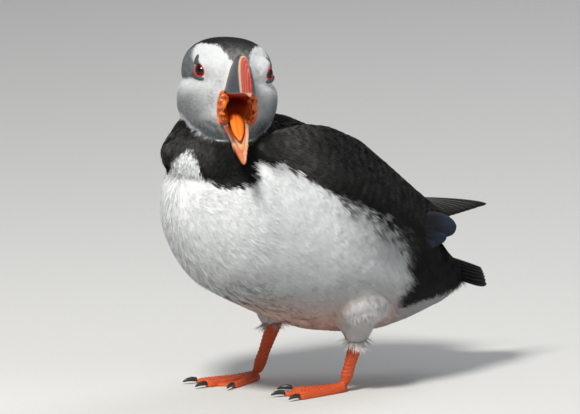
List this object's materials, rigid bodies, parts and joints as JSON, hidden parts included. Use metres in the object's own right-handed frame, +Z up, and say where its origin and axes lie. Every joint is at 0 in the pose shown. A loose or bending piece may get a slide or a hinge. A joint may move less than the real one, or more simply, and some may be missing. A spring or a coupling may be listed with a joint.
{
  "type": "atlantic puffin",
  "caption": "Life-size museum model of an Atlantic puffin standing with its head turned and its bill wide open, black and white with a large banded bill.",
  "frame": {"origin": "on the floor, under the middle of the bird's bounding box", "axes": "+Z up; the bird's body heads along -Y with its tail towards +Y and its left side at +X; its head is turned to its left"},
  "size_m": [0.1126, 0.1984, 0.1945],
  "materials": {
    "plumage_black": "soft black feathers with a slight sheen",
    "plumage_white": "soft white feathers",
    "plumage_head": "short pale grey face feathers under a black cap",
    "bill_horn": "smooth horn, banded blue-grey, cream and orange-red",
    "mouth_skin": "moist wrinkled orange-yellow skin",
    "leg_skin": "scaly orange-red skin",
    "claw": "dark polished horn",
    "eye": "wet glossy dark brown"
  },
  "bodies": {
    "root": {"head": "plumage_head", "neck": "plumage_black", "trunk": "plumage_white", "tail": "plumage_black", "wing_left": "plumage_black", "wing_right": "plumage_black", "primaries_left": "plumage_black", "primaries_right": "plumage_black", "thigh_left": "plumage_white", "thigh_right": "plumage_white", "bill_upper": "bill_horn", "bill_lower": "bill_horn", "tongue": "mouth_skin", "gape_left": "mouth_skin", "gape_right": "mouth_skin", "eye_left": "eye", "eye_right": "eye", "tarsus_left": "leg_skin", "tarsus_right": "leg_skin", "foot_left": "leg_skin", "foot_right": "leg_skin", "claw_left_inner": "claw", "claw_left_middle": "claw", "claw_left_outer": "claw", "claw_right_inner": "claw", "claw_right_middle": "claw", "claw_right_outer": "claw"}
  },
  "joints": []
}
